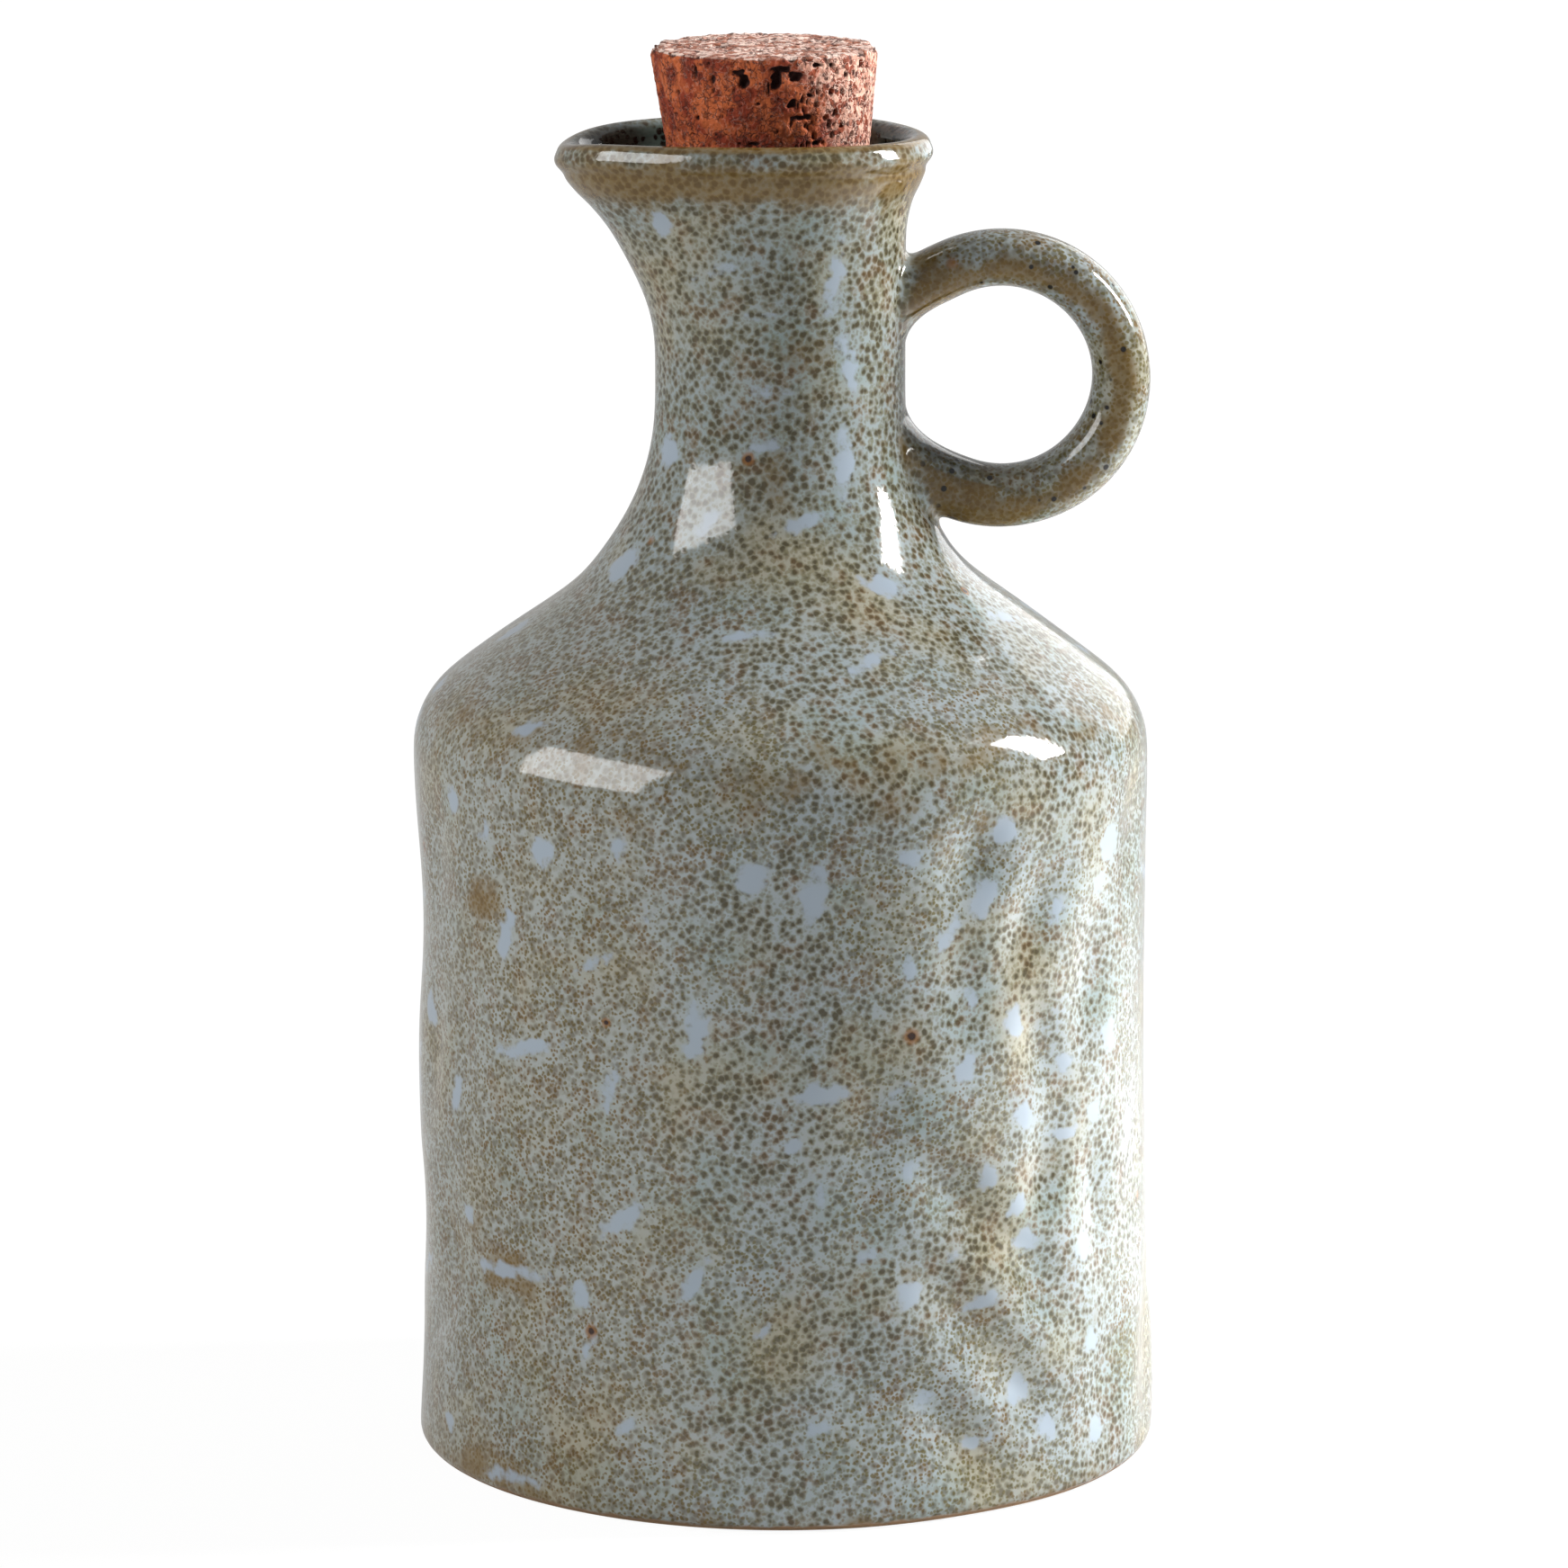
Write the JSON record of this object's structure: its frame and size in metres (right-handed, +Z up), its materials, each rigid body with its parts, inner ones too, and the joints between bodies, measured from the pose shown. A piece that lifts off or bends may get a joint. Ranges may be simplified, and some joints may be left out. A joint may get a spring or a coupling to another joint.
{
  "type": "ceramic oil bottle",
  "caption": "Glazed stoneware oil bottle with sloping shoulder, narrow neck, pulled pouring lip, finger ring on the neck and a tapered cork stopper.",
  "frame": {"origin": "centre of the bounding box of the flat base, on the surface it stands on", "axes": "+Z up along the bottle's height, pouring lip towards -X, finger ring towards +X"},
  "size_m": [0.1004, 0.1, 0.19],
  "materials": {
    "glazed_stoneware": "glossy speckled reactive glaze, pale blue-grey over olive brown",
    "cork": "matt natural cork with open pores"
  },
  "bodies": {
    "root": {"bottle": "glazed_stoneware", "stopper": "cork"}
  },
  "joints": []
}
